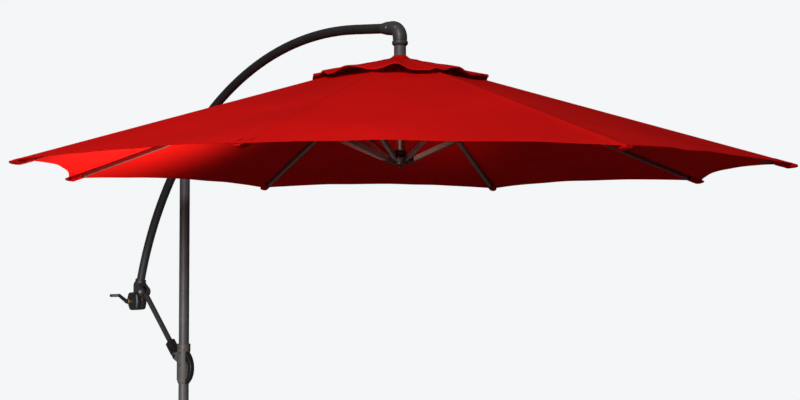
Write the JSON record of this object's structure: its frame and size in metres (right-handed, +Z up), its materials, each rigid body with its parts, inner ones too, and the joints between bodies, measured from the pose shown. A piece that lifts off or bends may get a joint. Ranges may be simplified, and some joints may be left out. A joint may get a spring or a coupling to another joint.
{
  "type": "cantilever parasol",
  "caption": "Cantilever parasol with a round ribbed fabric canopy, curved side arm, crank, sliding handle and weighted cross base.",
  "frame": {"origin": "on the ground at the axis of the pole, on the underside of the base's middle foot", "axes": "+X from the pole to the canopy, in the vertical plane of the arm, +Z up along the pole"},
  "size_m": [3.3978, 2.8656, 2.579],
  "materials": {
    "frame_paint": "anthracite powder coat, satin, fine texture",
    "arm_paint": "near-black powder coat, satin, fine texture",
    "dark_fitting": "dark anthracite cast fitting, satin",
    "plastic": "black moulded plastic, low sheen",
    "fabric": "woven red polyester, matt",
    "steel": "zinc-plated steel fasteners",
    "brass": "turned brass",
    "rubber": "matt black rubber",
    "slab": "grey filled ballast slab, matt",
    "cord": "braided cord"
  },
  "bodies": {
    "base": {"cross_legs": "frame_paint", "base_socket": "frame_paint", "base_bolts": "steel", "base_feet": "rubber", "ballast_slabs": "slab", "socket_bushes": "plastic"},
    "clamp_knob": {"clamp_knob": "plastic"},
    "pole": {"pole_tube": "frame_paint", "pole_head": "dark_fitting", "arm_pivot_bolt": "steel"},
    "arm": {"arm_tube": "arm_paint", "arm_saddle": "dark_fitting", "elbow": "dark_fitting", "arm_fasteners": "steel", "hub_post": "frame_paint", "centre_tube": "frame_paint", "top_hub": "plastic", "hub_pins": "steel", "hub_cap": "fabric", "crank_housing_left": "plastic", "crank_housing_right": "plastic", "arm_clevis": "arm_paint", "lift_cord": "cord"},
    "cord_pulley": {"cord_pulley": "plastic"},
    "crank": {"cord_spool": "steel", "crank_arm": "plastic", "crank_bush": "brass"},
    "crank_grip": {"crank_grip": "plastic"},
    "strut": {"strut_tube": "arm_paint", "strut_eye": "arm_paint"},
    "strut_foot": {"strut_socket": "plastic"},
    "slider": {"slider_sleeve": "dark_fitting", "slider_fasteners": "steel", "d_handle": "plastic"},
    "lock_lever": {"lock_lever": "steel"},
    "runner": {"runner": "plastic"},
    "rib_1": {"rib_1": "frame_paint", "canopy_panel_1": "fabric"},
    "stretcher_1": {"stretcher_1": "frame_paint"},
    "rib_2": {"rib_2": "frame_paint", "canopy_panel_2": "fabric"},
    "stretcher_2": {"stretcher_2": "frame_paint"},
    "rib_3": {"rib_3": "frame_paint", "canopy_panel_3": "fabric"},
    "stretcher_3": {"stretcher_3": "frame_paint"},
    "rib_4": {"rib_4": "frame_paint", "canopy_panel_4": "fabric"},
    "stretcher_4": {"stretcher_4": "frame_paint"},
    "rib_5": {"rib_5": "frame_paint", "canopy_panel_5": "fabric"},
    "stretcher_5": {"stretcher_5": "frame_paint"},
    "rib_6": {"rib_6": "frame_paint", "canopy_panel_6": "fabric"},
    "stretcher_6": {"stretcher_6": "frame_paint"},
    "rib_7": {"rib_7": "frame_paint", "canopy_panel_7": "fabric"},
    "stretcher_7": {"stretcher_7": "frame_paint"},
    "rib_8": {"rib_8": "frame_paint", "canopy_panel_8": "fabric"},
    "stretcher_8": {"stretcher_8": "frame_paint"}
  },
  "joints": [
    {"name": "pole_swivel", "type": "hinge", "parent": "base", "child": "pole", "pos_m": [0, 0, 0.1], "axis": [0, 0, 1], "continuous": true},
    {"name": "clamp_knob_turn", "type": "hinge", "parent": "base", "child": "clamp_knob", "pos_m": [-0.05, 0, 0.25], "axis": [-1, 0, 0], "range_deg": [0, 540]},
    {"name": "arm_raise", "type": "hinge", "parent": "pole", "child": "arm", "pos_m": [0, 0, 2.06], "axis": [0, -1, 0], "range_deg": [0, 15]},
    {"name": "strut_pivot", "type": "hinge", "parent": "arm", "child": "strut", "pos_m": [-0.335, 0, 1.445], "axis": [0, -1, 0], "range_deg": [-43, 0.5]},
    {"name": "slider_slide", "type": "slide", "parent": "pole", "child": "slider", "axis": [0, 0, -1], "range_m": [0, 0.1645]},
    {"name": "strut_foot_pivot", "type": "hinge", "parent": "slider", "child": "strut_foot", "pos_m": [-0.05, 0, 1.148], "axis": [0, -1, 0], "range_deg": [-28, 0.5]},
    {"name": "lock_lever_squeeze", "type": "hinge", "parent": "slider", "child": "lock_lever", "pos_m": [0.037, 0, 1.132], "axis": [0, -1, 0], "range_deg": [0, 9], "stiffness_Nm_per_rad": 0.6, "springref_deg": -8.59},
    {"name": "canopy_fold", "type": "hinge", "parent": "arm", "child": "rib_1", "pos_m": [1.50924, 0.0233, 2.38391], "axis": [-0.4661, 0.8847, 0], "range_deg": [0, 69], "deforming": ["canopy_panel_1"]},
    {"name": "rib_2_fold", "type": "hinge", "parent": "arm", "child": "rib_2", "pos_m": [1.4798, 0.04776, 2.38391], "axis": [-0.9552, 0.296, 0], "range_deg": [0, 69.5], "deforming": ["canopy_panel_2"]},
    {"name": "rib_3_fold", "type": "hinge", "parent": "arm", "child": "rib_3", "pos_m": [1.4417, 0.04424, 2.38391], "axis": [-0.8847, -0.4661, 0], "range_deg": [0, 69.5], "deforming": ["canopy_panel_3"]},
    {"name": "rib_4_fold", "type": "hinge", "parent": "arm", "child": "rib_4", "pos_m": [1.41724, 0.0148, 2.38391], "axis": [-0.296, -0.9552, 0], "range_deg": [0, 69.5], "deforming": ["canopy_panel_4"]},
    {"name": "rib_5_fold", "type": "hinge", "parent": "arm", "child": "rib_5", "pos_m": [1.42076, -0.0233, 2.38391], "axis": [0.4661, -0.8847, 0], "range_deg": [0, 69.5], "deforming": ["canopy_panel_5"]},
    {"name": "rib_6_fold", "type": "hinge", "parent": "arm", "child": "rib_6", "pos_m": [1.4502, -0.04776, 2.38391], "axis": [0.9552, -0.296, 0], "range_deg": [0, 69.5], "deforming": ["canopy_panel_6"]},
    {"name": "rib_7_fold", "type": "hinge", "parent": "arm", "child": "rib_7", "pos_m": [1.4883, -0.04424, 2.38391], "axis": [0.8847, 0.4661, 0], "range_deg": [0, 69.5], "deforming": ["canopy_panel_7"]},
    {"name": "rib_8_fold", "type": "hinge", "parent": "arm", "child": "rib_8", "pos_m": [1.51276, -0.0148, 2.38391], "axis": [0.296, 0.9552, 0], "range_deg": [0, 69.5], "deforming": ["canopy_panel_8"]},
    {"name": "stretcher_1_pivot", "type": "hinge", "parent": "rib_1", "child": "stretcher_1", "pos_m": [1.94496, 0.25284, 2.2092], "axis": [-0.4661, 0.8847, 0], "range_deg": [-135.5, 0.5]},
    {"name": "stretcher_2_pivot", "type": "hinge", "parent": "rib_2", "child": "stretcher_2", "pos_m": [1.6256, 0.51816, 2.2092], "axis": [-0.9552, 0.296, 0], "range_deg": [-135.5, 0.5]},
    {"name": "stretcher_3_pivot", "type": "hinge", "parent": "rib_3", "child": "stretcher_3", "pos_m": [1.21216, 0.47996, 2.2092], "axis": [-0.8847, -0.4661, 0], "range_deg": [-135.5, 0.5]},
    {"name": "stretcher_4_pivot", "type": "hinge", "parent": "rib_4", "child": "stretcher_4", "pos_m": [0.94684, 0.1606, 2.2092], "axis": [-0.296, -0.9552, 0], "range_deg": [-135.5, 0.5]},
    {"name": "stretcher_5_pivot", "type": "hinge", "parent": "rib_5", "child": "stretcher_5", "pos_m": [0.98504, -0.25284, 2.2092], "axis": [0.4661, -0.8847, 0], "range_deg": [-135.5, 0.5]},
    {"name": "stretcher_6_pivot", "type": "hinge", "parent": "rib_6", "child": "stretcher_6", "pos_m": [1.3044, -0.51816, 2.2092], "axis": [0.9552, -0.296, 0], "range_deg": [-135.5, 0.5]},
    {"name": "stretcher_7_pivot", "type": "hinge", "parent": "rib_7", "child": "stretcher_7", "pos_m": [1.71784, -0.47996, 2.2092], "axis": [0.8847, 0.4661, 0], "range_deg": [-135.5, 0.5]},
    {"name": "stretcher_8_pivot", "type": "hinge", "parent": "rib_8", "child": "stretcher_8", "pos_m": [1.98316, -0.1606, 2.2092], "axis": [0.296, 0.9552, 0], "range_deg": [-135.5, 0.5]},
    {"name": "runner_slide", "type": "slide", "parent": "arm", "child": "runner", "axis": [0, 0, -1], "range_m": [0, 0.676]},
    {"name": "crank_turn", "type": "hinge", "parent": "arm", "child": "crank", "pos_m": [-0.412, 0, 1.396], "axis": [0, -1, 0], "range_deg": [0, 3075]},
    {"name": "pulley_spin", "type": "hinge", "parent": "arm", "child": "cord_pulley", "pos_m": [1.4494, 0, 2.51359], "axis": [0, 1, 0], "range_deg": [0, 2490]},
    {"name": "crank_grip_spin", "type": "hinge", "parent": "crank", "child": "crank_grip", "pos_m": [-0.47935, -0.08, 1.42417], "axis": [0, -1, 0], "continuous": true}
  ],
  "couplings": [
    {"joint": "strut_pivot", "follows": "arm_raise", "ratio": -2.8454},
    {"joint": "slider_slide", "follows": "arm_raise", "m_per_rad": 0.62702},
    {"joint": "strut_foot_pivot", "follows": "arm_raise", "ratio": -1.8454},
    {"joint": "rib_2_fold", "follows": "canopy_fold", "ratio": 1},
    {"joint": "rib_3_fold", "follows": "canopy_fold", "ratio": 1},
    {"joint": "rib_4_fold", "follows": "canopy_fold", "ratio": 1},
    {"joint": "rib_5_fold", "follows": "canopy_fold", "ratio": 1},
    {"joint": "rib_6_fold", "follows": "canopy_fold", "ratio": 1},
    {"joint": "rib_7_fold", "follows": "canopy_fold", "ratio": 1},
    {"joint": "rib_8_fold", "follows": "canopy_fold", "ratio": 1},
    {"joint": "stretcher_1_pivot", "follows": "canopy_fold", "ratio": -1.9543},
    {"joint": "stretcher_2_pivot", "follows": "canopy_fold", "ratio": -1.9543},
    {"joint": "stretcher_3_pivot", "follows": "canopy_fold", "ratio": -1.9543},
    {"joint": "stretcher_4_pivot", "follows": "canopy_fold", "ratio": -1.9543},
    {"joint": "stretcher_5_pivot", "follows": "canopy_fold", "ratio": -1.9543},
    {"joint": "stretcher_6_pivot", "follows": "canopy_fold", "ratio": -1.9543},
    {"joint": "stretcher_7_pivot", "follows": "canopy_fold", "ratio": -1.9543},
    {"joint": "stretcher_8_pivot", "follows": "canopy_fold", "ratio": -1.9543},
    {"joint": "runner_slide", "follows": "canopy_fold", "m_per_rad": 0.56068},
    {"joint": "crank_turn", "follows": "canopy_fold", "ratio": 44.498},
    {"joint": "pulley_spin", "follows": "canopy_fold", "ratio": 35.941}
  ]
}
